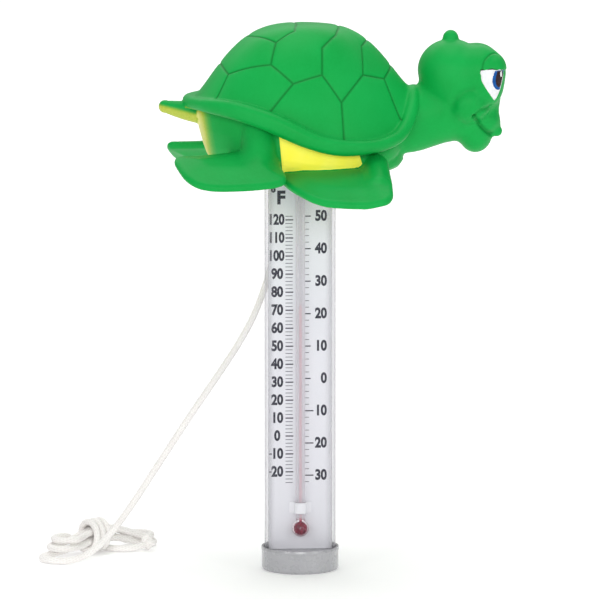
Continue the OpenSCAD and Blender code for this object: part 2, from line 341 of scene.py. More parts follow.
def stem_material():
    """The thermometer's glass: milky along the stem, and clear at the bulb, where it is tinted red as a
    painted refraction of the spirit inside.
    """
    n = Nodes("stem_glass")
    share = walled(n, (0.88, 0.85, 0.87), 0.15, 0.3)
    height = n.put("ShaderNodeSeparateXYZ", {0: n.coord.outputs["Object"]}, "Z")
    bulb = n.band(height, BULB_TOP, BULB_TOP + 0.002, 1.0, 0.0)
    # Painted refraction: the glass over the bulb is tinted deep red, as if the spirit showed through to its
    # edge
    n.link(n.mix(bulb, n.colour, (0.5, 0.13, 0.18)), n.wall.inputs["Base Color"])
    stem, end = n.band(share, 0.1, 1.0, 0.36, 0.6), n.band(share, 0.1, 1.0, 0.1, 0.55)
    n.link(n.put("ShaderNodeMix", {0: bulb, 2: stem, 3: end}, 0), n.mixed.inputs[0])
    return n.material


def cord_material():
    """White braid, with painted shade making it a little darker in the gaps between its strands."""
    n = Nodes("cord_braid")
    p = n.shader((0.94, 0.92, 0.9), 0.78, Sheen_Weight=0.35, Sheen_Roughness=0.5)
    base = n.ramp(n.noise(120, 3, 0.5), [(0.3, (0.92, 0.89, 0.87)), (0.7, (0.98, 0.96, 0.94))])
    # Painted shade: the braid is darker in the gaps between its strands
    gap = n.band(n.attribute("gap"), 0.2, 1.0, 0.0, 0.4)
    n.link(n.mix(gap, base, (0.6, 0.55, 0.51)), p.inputs["Base Color"])
    n.bump(n.noise(5200, 3, 0.6), 0.35, 0.00012, p)
    return n.material


def spirit_material():
    return speckled(
        "spirit_red", (0.07, 0.002, 0.008), (0.38, 0.02, 0.05), 0.12, (900, 4, 0.6), (0.4, 0.6),
        Coat_Weight=0.5, Coat_Roughness=0.05,
    )


def thread_material():
    """The thread of spirit in its bore, as pale as it looks through the glass."""
    along = (500, 3, 0.6, (1, 1, 0.1))
    return speckled("spirit_thread", (0.66, 0.04, 0.09), (0.8, 0.1, 0.16), 0.3, along)


def steel_material():
    n = Nodes("ballast_steel")
    p = n.shader((0.5, 0.5, 0.5), 0.32, Metallic=1.0)
    rings = n.noise(900, 3, 0.6, (1, 1, 6))
    n.link(n.ramp(rings, [(0.3, (0.38, 0.38, 0.39)), (0.7, (0.6, 0.6, 0.6))]), p.inputs["Base Color"])
    n.link(n.band(rings, 0.3, 0.7, 0.25, 0.42), p.inputs["Roughness"])
    return n.material


def card_material():
    return speckled(
        "scale_card", (0.78, 0.78, 0.8), (0.84, 0.84, 0.86), 0.5, (35, 3, 0.5, (1, 1, 0.2)),
        grain=(1800, 0.04), Coat_Weight=0.15, Coat_Roughness=0.2,
    )


def ink_material():
    return speckled("scale_ink", (0.012, 0.012, 0.022), (0.035, 0.035, 0.055), 0.55, (2200, 2, 0.6))


def paint_material(name, low, high, rough):
    gloss = (300, 2, 0.5), 0.7, 0.8, 1.25
    return speckled(name, low, high, rough, (700, 3, 0.5), gloss=gloss, Specular_IOR_Level=0.18)


# ---- lanyard
CORD_R = 1.5
ROUTE = [
    (10.5, 24, 160.5), (6, 24, 160.5), (2, 24, 160.2), (-1.5, 24, 158.5), (-4, 24, 155),
    (-5.5, 24, 150), (-7, 24, 142), (-9.5, 24, 131), (-13, 23.5, 118), (-18, 23, 105),
    (-24.5, 23, 93), (-32, 23, 81.5), (-39.5, 23, 70.5), (-47, 23, 59.5), (-54.5, 23, 48),
    (-62, 23, 36.5), (-69, 22, 26), (-76, 20.5, 16.5), (-83, 18, 8.8), (-90, 15.5, 3.8),
    (-97, 14.5, 1.8), (-103.5, 16, 1.6), (-108, 20.5, 1.6), (-108.5, 26.5, 1.6),
    (-104.5, 31, 1.7),
]
HANK_AT, HANK_TURN = (-82, 46), math.radians(40)
# Radius of the folds at the hank's ends, and radius and height of the turns round its middle
FOLD_R = 6.2
WRAP_R, WRAP_Z = 6.3, 7.8


def hank_point(u, v, w):
    """A point of the hank, along it, across it and above the ground."""
    c, s = math.cos(HANK_TURN), math.sin(HANK_TURN)
    return (HANK_AT[0] + u * c - v * s, HANK_AT[1] + u * s + v * c, w)


def fold(side, w, at):
    """Half a turn at one end of the hank, with a radius of a little over two diameters."""
    steps = [math.pi * k / 8 for k in range(9)]
    return [(side * (at + FOLD_R * math.sin(a)), side * FOLD_R * math.cos(a), w) for a in steps]


def wraps(u, a, last):
    """Turns round the middle of the hank: the cord bends off its length and on round, never too tightly."""
    out, way, step, pitch = [], 0.0, 0.5, 3.15
    full = math.atan2(2 * math.pi * WRAP_R, pitch)
    least_turn = 0.05
    while a > last:
        if way < full:
            bend = math.sin(way) ** 2 / WRAP_R
            way = min(full, way + step * math.sqrt(max(least_turn**2, 1 / WRAP_R**2 - bend**2)))
        u += step * math.cos(way)
        a -= step * math.sin(way) / WRAP_R
        out.append((u, WRAP_R * math.cos(a), WRAP_Z + WRAP_R * math.sin(a)))
    return out


def hank_line():
    """To and fro, four lengths side by side, then turns round the middle, then out to the end knot."""
    low, high = 5.8, 9.8
    out = [(-19, 2.6, 2.2), (-12, 2.3, 4.5), (-4, 2.0, low)]
    out += [(4, 2.0, low), (11, 2.6, 4.6), (17, 4.6, 2.4)]
    out += fold(1, 1.6, 22.0)
    out += [(17, -4.6, 2.2), (11, -2.6, 4.6), (4, -2.0, low)]
    out += [(-4, -2.0, low), (-11, -2.8, 5.4), (-17, -4.8, 4.9)]
    out += fold(-1, 4.8, 22.5)
    out += [(-17, 4.6, 5.6), (-11, 2.6, 8.2), (-4, 2.0, high)]
    out += [(4, 2.0, high), (11, 2.6, 8.0), (17, 4.6, 5.4)]
    out += fold(1, 4.8, 20.5)
    out += [(17, -4.8, 5.6), (11, -2.8, 8.2), (4, -2.0, high)]
    out += [(-4, -2.0, high), (-11, -2.6, 9.3), (-16, -4.6, 8.6)]
    out += fold(-1, 8.1, 20.0)
    turns = 3
    out += wraps(-16.5, math.radians(3), math.radians(-90 - 360 * turns))[1::4]
    u = out[-1][0]
    out += [(u + 1, -3.0, 1.6), (u + 3, -6.2, 1.6), (u + 6, -9.0, 1.6)]
    out += [(u + 9.4, -10.9, 1.8), (16.5, -11.9, 3.3)]
    return [hank_point(*p) for p in out]


def apart(line, passes, gap):
    """The line with its turns pushed off one another and kept above the ground; its first points stay."""
    p = line.copy()
    neighbours = 8
    index = np.arange(len(p))
    away = np.abs(index[:, None] - index[None, :]) > neighbours
    for _ in range(passes):
        between = p[:, None] - p[None]
        d = np.sqrt((between**2).sum(2)) + 1e-9
        push = np.where(away & (d < gap), (gap - d) / d, 0)
        pushes = np.sqrt(np.maximum(1, (push > 0).sum(1)))[:, None]
        move = softened(0.4 * (between * push[..., None]).sum(1) / pushes, 4)
        move[:neighbours] = 0
        p += move
        p[:, 2] = np.maximum(p[:, 2], CORD_R + 0.02)
    return p


def carried_sides(way):
    """A direction across the line at each point, carried along it without a twist."""
    side = np.zeros_like(way)
    side[0] = np.cross(way[0], (0, 0, 1) if abs(way[0][2]) < 0.9 else (0, 1, 0))
    side[0] /= np.linalg.norm(side[0])
    for i in range(1, len(way)):
        s = side[i - 1] - way[i] * np.dot(side[i - 1], way[i])
        side[i] = s / np.linalg.norm(s)
    return side


def braid_height(angle, along, strands, pitch):
    """Height of the braid over its gaps, 0 to 1: two sets of strands wind opposite ways."""
    half = strands / 2
    turn = 2 * math.pi * along[:, None] / pitch
    left = half * (angle[None, :] - turn / half)
    right = half * (angle[None, :] + turn / half)
    over = 0.35 * 0.5 * np.cos(left + right)
    height = np.maximum(np.cos(left) ** 2 + over, np.cos(right) ** 2 - over)
    return (height - height.min()) / (height.max() - height.min())


def braided_tube(name, line, radius, sides, gap_depth, strands=8, pitch=5.2):
    """A braided cord along a line, with rounded ends; its attribute gap is 1 in the gaps of the braid."""
    way = np.gradient(line, axis=0)
    way /= np.linalg.norm(way, axis=1)[:, None]
    side = carried_sides(way)
    up = np.cross(way, side)
    along = lengths(line)
    angle = np.arange(sides) * 2 * math.pi / sides
    height = braid_height(angle, along, strands, pitch)
    ends = np.clip(np.minimum(along, along[-1] - along) / radius, 0.02, 1)
    r = (radius - gap_depth * (1 - height)) * np.sqrt(ends * (2 - ends))[:, None]
    turn = angle[None, :, None]
    across = np.cos(turn) * side[:, None] + np.sin(turn) * up[:, None]
    obj = skin(name, line[:, None] + r[:, :, None] * across)
    add_attribute(obj.data, "gap", 1 - height)
    return obj


def knot_line(centre, radius, turn):
    """A tight overhand knot's line: a trefoil, tipped over and turned about the vertical."""
    a = np.linspace(0, 2 * math.pi, 73)
    x = (np.sin(a) + 2 * np.sin(2 * a)) / 3
    y = (np.cos(a) - 2 * np.cos(2 * a)) / 3
    tipped = Matrix.Rotation(turn, 3, "Z") @ Matrix.Rotation(math.radians(64), 3, "Y")
    return np.array(centre) + radius * np.column_stack([x, y, -0.45 * np.sin(3 * a)]) @ np.array(tipped).T


def add_knot(name, node, turn, material):
    """A tied knot in place of its CAD ball."""
    low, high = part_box(node)
    line = even(knot_line((low + high) / 2 / MM, 2.15, turn), 0.22)
    knot = braided_tube(name, line, 1.35, 20, 0.2, pitch=5.0)
    place(knot, material, "float")
    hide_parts(node)
    return knot


def add_lanyard():
    free = spline_points(ROUTE, 12)
    hank = spline_points(hank_line(), 8)
    line = even(softened(even(np.concatenate([free, hank]), 0.5), 24), 1.0)
    lying = int(np.argmin(np.linalg.norm(line - np.array(ROUTE[-6]), axis=1)))
    line[lying:] = apart(line[lying:], 40, 2 * CORD_R + 0.02)
    line = even(softened(even(line, 0.5), 16), 0.32)
    material = cord_material()
    cord = braided_tube("lanyard_braid", line, CORD_R, 24, 0.28)
    place(cord, material, "float")
    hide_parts("lanyard_cord", "lanyard_hank")
    knots = [
        add_knot("lug_knot", "lanyard_knot", 0.3, material),
        add_knot("end_knot", "lanyard_end_knot", 1.1, material),
    ]


add_lanyard()


# ---- turtle: rounded solids as distances
def blend_min(a, b, k):
    h = np.clip(0.5 + 0.5 * (b - a) / k, 0, 1)
    return b * (1 - h) + a * h - k * h * (1 - h)


def blend_max(a, b, k):
    return -blend_min(-a, -b, k)


def ball(x, y, z, centre, radii):
    """Distance to an ellipsoid, near its surface."""
    q = np.stack([(x - centre[0]) / radii[0], (y - centre[1]) / radii[1], (z - centre[2]) / radii[2]])
    k0 = np.sqrt((q**2).sum(0)) + 1e-9
    k1 = np.sqrt(sum((q[i] / radii[i]) ** 2 for i in range(3))) + 1e-9
    return k0 * (k0 - 1) / k1


def horn(x, y, z, a, b, ra, rb):
    """Distance to a rounded cone between two balls."""
    a, b = np.array(a, float), np.array(b, float)
    d = b - a
    length = float(np.linalg.norm(d))
    d /= length
    px, py, pz = x - a[0], y - a[1], z - a[2]
    h = px * d[0] + py * d[1] + pz * d[2]
    r = np.sqrt(np.maximum(px**2 + py**2 + pz**2 - h**2, 0))
    s = (ra - rb) / length
    c = math.sqrt(1 - s * s)
    t = np.clip((h + r * s / c) / length, 0, 1)
    return np.hypot(h - t * length, r) - (ra + (rb - ra) * t)


def outline_distance(u, v, outline):
    """Signed distance to a closed outline in a plane, negative inside."""
    p = np.asarray(outline, float)
    best = np.full(u.shape, 1e9)
    inside = np.zeros(u.shape, bool)
    for (x0, y0), (x1, y1) in zip(p, np.roll(p, -1, 0)):
        ex, ey = x1 - x0, y1 - y0
        wx, wy = u - x0, v - y0
        t = np.clip((wx * ex + wy * ey) / (ex * ex + ey * ey), 0, 1)
        best = np.minimum(best, (wx - t * ex) ** 2 + (wy - t * ey) ** 2)
        cross = (y0 > v) != (y1 > v)
        if ey:
            inside ^= cross & (u < x0 + (v - y0) * ex / ey)
    return np.where(inside, -1, 1) * np.sqrt(best)


# Degrees round the rim from the head to the tail, height of its lower edge, and of the crease above it
RIM = np.array([
    (0, 200.5, 205.4), (8, 198.6, 203.6), (16, 193.1, 198.6), (25, 186.5, 191.8),
    (35, 182.2, 187.2), (50, 179.6, 184.7), (67, 178.4, 184.9), (78, 179.2, 186.3),
    (88, 181.4, 188.8), (97, 184.6, 192.6), (106, 188.0, 196.6), (118, 191.4, 199.6),
    (131, 193.9, 201.3), (145, 195.4, 201.6), (160, 196.4, 200.9), (180, 197.2, 200.4),
])
# The rim's half length and half width, and its own width
RIM_A, RIM_B, RIM_W = 50.0, 42.0, 5.0
# Middle of the rim, the dome's highest point, and the heights of the top, the dome's foot and the belly
SHELL_X, APEX_X, TOP_Z, DOME_LOW, BELLY_Z = 0.5, 2.0, 231.0, 183, 169.0
DEGREES = np.arange(0, 181)
# A distance that stands for nowhere near
FAR = 99.0


def eased(values):
    """The rim's heights at every degree, smoothed."""
    values = np.interp(DEGREES, RIM[:, 0], values)
    padded = np.concatenate([values[12:0:-1], values, values[-2:-14:-1]])
    kernel = np.exp(-0.5 * (np.arange(-12, 13) / 4.0) ** 2)
    return np.convolve(padded, kernel / kernel.sum(), "valid")


RIM_LOW_Z, RIM_TOP_Z = eased(RIM[:, 1]), eased(RIM[:, 2])


def rim_heights(t):
    a = np.degrees(t)
    return np.interp(a, DEGREES, RIM_LOW_Z), np.interp(a, DEGREES, RIM_TOP_Z)


def dome_height(x, y):
    """Height of the dome over a point, and how far out that point is: 1 is the crease."""
    a, b, e = RIM_A - RIM_W, RIM_B - RIM_W, SHELL_X - APEX_X
    dx = x - APEX_X
    k = a * a - e * e
    s = (-e * dx + np.sqrt(e * e * dx * dx + k * (dx * dx + (y * a / b) ** 2))) / k
    s = np.maximum(s, 1e-6)
    t = np.arctan2(np.abs(y) / (s * b), (dx / s - e) / a)
    crease = rim_heights(t)[1]
    inside = np.minimum(s, 1)
    power = 1.4 - 0.45 * np.sin(t) ** 2
    return crease + (TOP_Z - crease) * (1 - inside**3.1) ** power, s


def shell_distance(x, y, z):
    """The domed shell with its rolled rim."""
    top = dome_height(x, y)[0]
    e = 0.3
    gx = (dome_height(x + e, y)[0] - top) / e
    gy = (dome_height(x, y + e)[0] - top) / e
    slope = np.sqrt(1 + np.minimum(gx**2 + gy**2, 30))
    dome = (z - top) / slope
    t = np.arctan2(y / RIM_B, (x - SHELL_X) / RIM_A)
    low, high = rim_heights(np.abs(t))
    reach = np.hypot(x - SHELL_X, y)
    out = reach * (1 - 1 / np.maximum(np.hypot((x - SHELL_X) / (RIM_A - 4.2), y / (RIM_B - 4.2)), 1e-6))
    dome = np.maximum(np.maximum(dome, out), (low + 1.0) - z)
    roll = np.full(x.shape, FAR)
    near = (np.abs(out - 1.5) < 9) & (z > low - 9) & (z < high + 9)
    if near.any():
        nx, ny, nz, nt = x[near], y[near], z[near], np.abs(t[near])
        best = np.full(nx.shape, FAR)
        inset = 2.9
        for shift in np.radians(np.arange(-20, 21, 2.0)):
            a = np.clip(nt + shift, 0, math.pi)
            l, h = rim_heights(a)
            round_by = np.degrees(a)
            radius = 2.75 + 0.35 * smooth((round_by - 60) / 50) - 0.6 * smooth((round_by - 125) / 40)
            cx, cy = SHELL_X + (RIM_A - inset) * np.cos(a), (RIM_B - inset) * np.sin(a)
            tall = np.maximum(0, (h - l) / 2 - radius)
            dz = np.maximum(np.abs(nz - (l + h) / 2) - tall, 0)
            best = np.minimum(best, np.sqrt((nx - cx) ** 2 + (ny - cy) ** 2 + dz**2) - radius)
        roll[near] = best
    return blend_min(dome, roll, 0.5)


def body_distance(x, y, z):
    """The rounded box of the body under the rim, with its flat belly."""
    t = np.abs(np.arctan2(y / 34.5, x / 43.7))
    low = rim_heights(t)[0] + 3
    w = np.clip((low - z) / (low - BELLY_Z), 0, 1)
    narrow = np.interp(w, [0, 0.4, 0.6, 0.74, 0.85, 0.93, 1], [0.8, 0, 0.5, 1.6, 3.2, 5.4, 9.0])
    rear = smooth(-x / 24) * np.interp(w, [0, 0.2, 0.58, 0.82, 1], [0, 0, 2.4, 3.2, 3.4])
    front = smooth(x / 24) * np.interp(w, [0, 0.7, 0.85, 0.93, 1], [0, 0, 2.8, 3.2, 2.0])
    rho = np.hypot(x / (43.7 - narrow - rear + front), y / (34.5 - narrow)) + 1e-6
    side = np.hypot(x, y) * (1 - 1 / rho)
    return np.maximum(np.maximum(side * 0.85, BELLY_Z - z), z - low)


FRONT_PADDLE = spline_points([
    (32, 24), (34.6, 38), (34.7, 50), (33.9, 56.8), (30.8, 60.6), (24, 60.8), (15, 60.2), (8, 59.0),
    (2.4, 56.8), (-2.2, 53.2), (-7.0, 46.4), (-10.0, 38), (-10.0, 31), (-4, 26), (6, 24), (20, 22),
], 4, closed=True)
REAR_PADDLE = spline_points([
    (-11.6, 24), (-10.8, 36), (-8.8, 46.2), (-11.6, 50), (-19, 52), (-28, 53), (-38, 53.2), (-45.4, 51.4),
    (-50.3, 46.5), (-53, 39.5), (-54.2, 33.5), (-52.2, 30), (-44, 28), (-35, 25), (-26, 19),
], 4, closed=True)


def paddle(x, y, z, outline, middle, thick, edge):
    """A flipper: an outline seen from above, a curved middle surface, thick inside and thin at the edge."""
    far = np.full(x.shape, FAR)
    low, high = outline.min(0) - 6, outline.max(0) + 6
    near = (x > low[0]) & (x < high[0]) & (y > low[1]) & (y < high[1]) & (z < 192)
    if near.any():
        nx, ny, nz = x[near], y[near], z[near]
        d = outline_distance(nx, ny, outline)
        m = middle(nx, ny)
        e = 0.2
        slope = np.hypot((middle(nx + e, ny) - m) / e, (middle(nx, ny + e) - m) / e)
        n = (nz - m) / np.hypot(1, slope)
        half = edge + (thick - edge) * smooth(-d / 11)
        side = d + edge
        off = np.abs(n) - (half - edge)
        outside = np.hypot(np.maximum(side, 0), np.maximum(off, 0))
        far[near] = outside - edge + np.minimum(np.maximum(side, off), 0)
    return far


def front_middle(x, y):
    k = 0.098 + 0.023 * smooth((x + 8) / 16)
    return 170.3 - k * np.maximum(y - 27, 0) ** 1.25 + 1.4 * smooth((x - 22) / 9)


def rear_middle(x, y):
    tip = np.maximum(0, -x - 33)
    return 177.6 - 0.185 * np.maximum(y - 26, 0) ** 1.22 + 0.002 * tip**2


# Balls of the skull and the cheek, with how softly each joins the ones before it
SKULL = [
    ((63.4, 0, 211.0), (14.0, 15.2, 13.0), 0.01),
    ((67.0, 0, 204.0), (15.6, 15.6, 13.5), 3),
    ((74.5, 6.0, 210.2), (11.2, 10.6, 11.6), 2.5),
    ((75.2, 6.0, 204.0), (9.4, 9.4, 8.8), 2),
    ((70.0, 8.2, 197.8), (9.0, 8.9, 8.8), 1.0),
]


def head_distance(x, y, z):
    """Skull, cheeks, lids, beak and jaw; y is counted from the middle, so both sides are the same."""
    skull = np.full(x.shape, 1e3)
    for centre, radii, soft in SKULL:
        skull = blend_min(skull, ball(x, y, z, centre, radii), soft)
    jaw = ball(x, y, z, (73.6, 0, 184.8), (7.2, 9.0, 8.5))
    throat = horn(x, y, z, (60, 0, 193.4), (69, 0, 190.8), 11.6, 10.0)
    head = blend_min(skull, blend_min(throat, jaw, 2.0), 2.5)
    beak_top = horn(x, y, z, (76.0, 3.0, 194.5), (78.3, 2.0, 190.0), 7.8, 5.0)
    beak_tip = horn(x, y, z, (78.6, 0, 193.0), (82.7, 0, 185.2), 5.2, 2.3)
    bridge = ball(x, y, z, (76.8, 0, 199.6), (7.4, 7.0, 8.4))
    head = blend_min(head, blend_min(blend_min(beak_top, beak_tip, 3.0), bridge, 3), 2.2)
    lid = blend_max(ball(x, y, z, (80.2, 8.2, 211.6), (5.6, 7.7, 7.2)), 211.9 - z, 0.5)
    tuft = ball(x, y, z, (63.1, 0, 223.9), (3.4, 3.4, 3.9))
    return blend_min(blend_min(head, lid, 0.5), tuft, 0.9)


def field(p):
    """Distance to the whole turtle, both sides alike, and to its parts."""
    x, y, z = p[..., 0], np.abs(p[..., 1]), p[..., 2]
    body = body_distance(x, y, z)
    neck = horn(x, y * 1.15, z, (36, 0, 186.2), (58, 0, 193.0), 13.2, 12.8)
    nape = horn(x, y * 1.15, z, (38, 0, 193.2), (56, 0, 195.5), 9.6, 9.3)
    body = blend_min(body, blend_max(blend_min(neck, nape, 3), 176.4 - z, 1.5), 2.0)
    hip = horn(x, y, z, (-18.2, 26.0, 187), (-19.5, 35.5, 173), 8.2, 6.4)
    shoulder = horn(x, y, z, (29.4, 27, 173.0), (29.4, 44, 168.4), 5.6, 3.6)
    rear = blend_min(paddle(x, y, z, REAR_PADDLE, rear_middle, 3.6, 1.5), hip, 4)
    front = blend_min(paddle(x, y, z, FRONT_PADDLE, front_middle, 3.2, 1.6), shoulder, 3.0)
    tail = blend_max(
        horn(x, y, z, (-41, 0, 193.2), (-56.4, 0, 196.4), 6.8, 2.8),
        np.abs(z - (193.6 + (-x - 41) * 0.16)) - 4.6, 2.5,
    )
    trunk = blend_min(body, tail, 1.2)
    limbs = blend_min(rear, front, 0.6)
    soft = blend_min(trunk, limbs, 0.7)
    head = head_distance(x, y, z)
    soft = blend_min(soft, head, 3.0)
    shell = shell_distance(x, y, z)
    whole = blend_min(soft, shell, 0.45)
    well = np.maximum(np.hypot(x, y) - 17.55, z - 174)
    room = np.maximum(np.maximum(np.hypot(x, y) - 18.8, z - 188.5), 171.5 - z)
    whole = np.maximum(whole, -np.minimum(well, room))
    return whole, {"body": body, "rear": rear, "front": front, "tail": tail, "shell": shell, "head": head}


def surface_net(f, low, step):
    """Points and faces of the surface where f is 0: one point in each cell that the surface passes."""
    s = f < 0
    shape = np.array(f.shape) - 1
    count = np.zeros(shape, np.int8)
    for d in itertools.product((0, 1), repeat=3):
        count += s[d[0]:d[0] + shape[0], d[1]:d[1] + shape[1], d[2]:d[2] + shape[2]]
    active = (count > 0) & (count < 8)
    cells = np.argwhere(active)
    index = np.full(shape, -1, np.int32)
    index[active] = np.arange(len(cells))
    where, hits = np.zeros((len(cells), 3)), np.zeros(len(cells))
    for axis in range(3):
        for a, b in itertools.product((0, 1), repeat=2):
            corner = np.insert([a, b], axis, 0)
            p0 = cells + corner
            f0, f1 = f[tuple(p0.T)], f[tuple((p0 + np.eye(3, dtype=int)[axis]).T)]
            m = (f0 < 0) != (f1 < 0)
            where[m] += corner
            where[m, axis] += f0[m] / (f0[m] - f1[m])
            hits[m] += 1
    verts = np.array(low) + step * (cells + where / hits[:, None])
    faces = []
    for axis in range(3):
        u, v = (axis + 1) % 3, (axis + 2) % 3
        change = np.diff(s.astype(np.int8), axis=axis)
        spots = np.argwhere(change)
        inner = (spots[:, [u, v]] > 0) & (spots[:, [u, v]] < shape[[u, v]])
        spots = spots[inner.all(1)]
        quad = []
        for du, dv in ((-1, -1), (0, -1), (0, 0), (-1, 0)):
            q = spots.copy()
            q[:, u] += du
            q[:, v] += dv
            quad.append(index[tuple(q.T)])
        quad = np.stack(quad, axis=1)
        entering = change[tuple(spots.T)] > 0
        quad[entering] = quad[entering][:, ::-1]
        faces.append(quad)
    return verts, np.concatenate(faces)


def settled(verts, passes, most):
    """The points moved onto the surface, along the distance's slope."""
    verts = verts.copy()
    e = 0.04
    for _ in range(passes):
        f = field(verts)[0]
        g = np.stack([(field(verts + e * np.eye(3)[k])[0] - f) / e for k in range(3)], axis=1)
        size = np.maximum((g**2).sum(1), 0.25)
        move = -(f / size)[:, None] * g
        length = np.linalg.norm(move, axis=1)
        verts += move * np.minimum(1, most / np.maximum(length, 1e-9))[:, None]
    return verts


# Grooves between the shell's plates, over the ground plan; each is mirrored on the other side
PLATE_LINES = [
    [(-33.5, 0), (-33.2, 6), (-31.1, 16.8), (-35.4, 20.4), (-37.6, 22.5)],
    [(-31.1, 16.8), (-14, 26.1)],
    [(-14, 26.1), (-11.4, 19.4)],
    [(-11.4, 19.4), (-20.1, 7.5), (-22.3, 0)],
    [(-11.4, 19.4), (-3.3, 14.5), (-1.9, 5.5), (-1.8, 0)],
    [(-14, 26.1), (-5, 31.3), (-14.6, 35.0)],
    [(-5, 31.3), (7.2, 28.1)],
    [(7.2, 28.1), (7.7, 21.3), (13.9, 12.9), (15.8, 5), (15.9, 0)],
    [(7.2, 28.1), (15.1, 30.2), (15.9, 35.4)],
    [(15.1, 30.2), (24.9, 19.0), (25.1, 8.7), (27.5, 3), (28.0, 0)],
    [(24.9, 19.0), (34.4, 11.1), (37.4, 4.5), (37.8, 0)],
    [(34.4, 11.1), (41.3, 16.5)],
]


def plate_points():
    """Points along the grooves: each goes straight over the dome, in a plane through a point inside it."""
    middle = np.array([APEX_X + 4, -30, 172.0])
    out = []
    for line in PLATE_LINES:
        ends = np.array(line, float)
        ends = np.column_stack([ends, dome_height(*ends.T)[0]])
        for a, b in zip(ends[:-1], ends[1:]):
            way = even(np.array([a, b]), 0.3) - middle
            low, high = np.full(len(way), 0.8), np.full(len(way), 1.8)
            for _ in range(24):
                guess = (low + high) / 2
                p = middle + way * guess[:, None]
                under = p[:, 2] < dome_height(p[:, 0], p[:, 1])[0]
                low, high = np.where(under, guess, low), np.where(under, high, guess)
            out.append(middle + way * low[:, None])
    return np.concatenate(out)


# Folds in the head, seen from the side: the mouth, the crease over it, the cheek's edge and the lid's edge
MOUTH = [(71.6, 192.4), (73.5, 190.3), (75.7, 187.8), (77.9, 185.8), (80.3, 184.1)]
CREASE = [(71.6, 192.4), (73.3, 194.3), (75.6, 195.7), (78.6, 196.2)]
CHEEK = [(63.2, 197.0), (63.4, 199.0), (64.8, 201.4), (67.5, 203.1), (71.0, 204.4)]
LID = [
    (74.8, 212.4), (75.5, 215.5), (77.6, 217.8), (80.2, 218.8), (82.6, 218.0), (84.6, 215.6), (85.6, 212.4),
]


def fold_points(line):
    """Points on the head's side, each as far out as the surface is."""
    flat = even(spline_points([(x, 0, z) for x, z in line], 6), 0.35)
    out = np.arange(22, 0, -0.1)
    grid = np.stack(np.broadcast_arrays(flat[:, None, 0], out[None, :], flat[:, None, 2]), axis=-1)
    inside = head_distance(grid[..., 0], grid[..., 1], grid[..., 2]) < 0
    kept = inside.any(1)
    return np.column_stack([flat[kept, 0], out[inside[kept].argmax(1)], flat[kept, 2]])


def line_distance(verts, line):
    """Distance from each point to a line on its own side of the turtle, and FAR where it is far."""
    p = verts.copy()
    p[:, 1] = np.abs(p[:, 1])
    out = np.full(len(p), FAR)
    margin, chunk = 4, 4000
    close = np.flatnonzero(((p > line.min(0) - margin) & (p < line.max(0) + margin)).all(1))
    for part in np.array_split(close, len(close) // chunk + 1):
        out[part] = np.sqrt(((p[part, None] - line) ** 2).sum(2).min(1))
    return out


def refined(verts, faces, lines, levels):
    """Faces near the details split in four, level by level, with the new points on the surface."""
    bm = bmesh.new()
    points = [bm.verts.new(v) for v in verts]
    for f in faces:
        bm.faces.new([points[i] for i in f])
    bm.verts.ensure_lookup_table()
    for reach, longest in levels:
        co = np.array([v.co for v in bm.verts])
        near = np.minimum.reduce([line_distance(co, line) for line in lines]) < reach
        bm.verts.index_update()
        edges = [
            e for e in bm.edges
            if (near[e.verts[0].index] or near[e.verts[1].index]) and e.calc_length() > longest
        ]
        old = len(bm.verts)
        bmesh.ops.subdivide_edges(bm, edges=edges, cuts=1, use_grid_fill=True)
        bm.verts.ensure_lookup_table()
        fresh = np.array([bm.verts[i].co for i in range(old, len(bm.verts))])
        if len(fresh):
            for i, p in zip(range(old, len(bm.verts)), settled(fresh, 2, 0.3)):
                bm.verts[i].co = p
    bmesh.ops.triangulate(bm, faces=[f for f in bm.faces if len(f.verts) > 4])
    return bm


NET_LOW, NET_HIGH = (-62.0, -62.4, 156.0), (90.0, 62.4, 234.0)


def first_net(step):
    """The turtle's surface from a plain grid of distances, worked out on one side and mirrored."""
    low = np.array(NET_LOW)
    shape = np.ceil((np.array(NET_HIGH) - low) / step).astype(int) + 1
    shape[1] = 2 * int(NET_HIGH[1] / step) + 2
    low[1] = -(shape[1] - 1) * step / 2
    x, y, z = (low[k] + step * np.arange(shape[k]) for k in range(3))
    grid = np.stack(np.meshgrid(x, y[shape[1] // 2:], z, indexing="ij"), axis=-1)
    f = field(grid)[0]
    verts, faces = surface_net(np.concatenate([f[:, ::-1], f], axis=1), low, step)
    return settled(verts, 2, 0.4 * step), faces


# Depth and width of each kind of line, and how strongly and how widely painted shade darkens the green
# along it
DEPTHS = {
    "plate": (0.3, 0.5), "mouth": (1.2, 0.95), "crease": (0.9, 1), "cheek": (0.6, 1.6), "lid": (0.4, 0.5),
}
SHADES = {
    "plate": (1, 0.5), "mouth": (0.6, 1.1), "crease": (0.4, 1), "cheek": (0.2, 1.6), "lid": (0.75, 0.38),
}


def marks(away, table):
    """The lines' depth or shade at each point: most on a line, and less and less away from it."""
    return sum(most * np.exp(-((away[name] / width) ** 2)) for name, (most, width) in table.items())


def carved(co, normal, away):
    """The points moved in along the lines and out a little on the plates, and their distances before."""
    whole, parts = field(co)
    on_plate = (co[:, 2] > DOME_LOW) & (np.abs(parts["shell"] - whole) < 0.2)
    puff = 0.1 * smooth((away["plate"] - 0.4) / 2.2) * on_plate
    return co + normal * (puff - marks(away, DEPTHS))[:, None], parts


def belly_paint(x, y, z, own):
    """Above 0 where the yellow is: the patch on each flank between the flippers, and the underside."""
    patch = np.minimum.reduce([
        own - 0.2,
        x + 9.9 + (z - 176) * 0.1,
        24.6 - (z - 172) * 0.32 - x,
        y - 20,
        z - 171.2,
        188 - z,
    ])
    under = np.minimum(169.6 - z, 1.5)
    return np.maximum(patch, np.where(own > -0.5, under, -1.0))


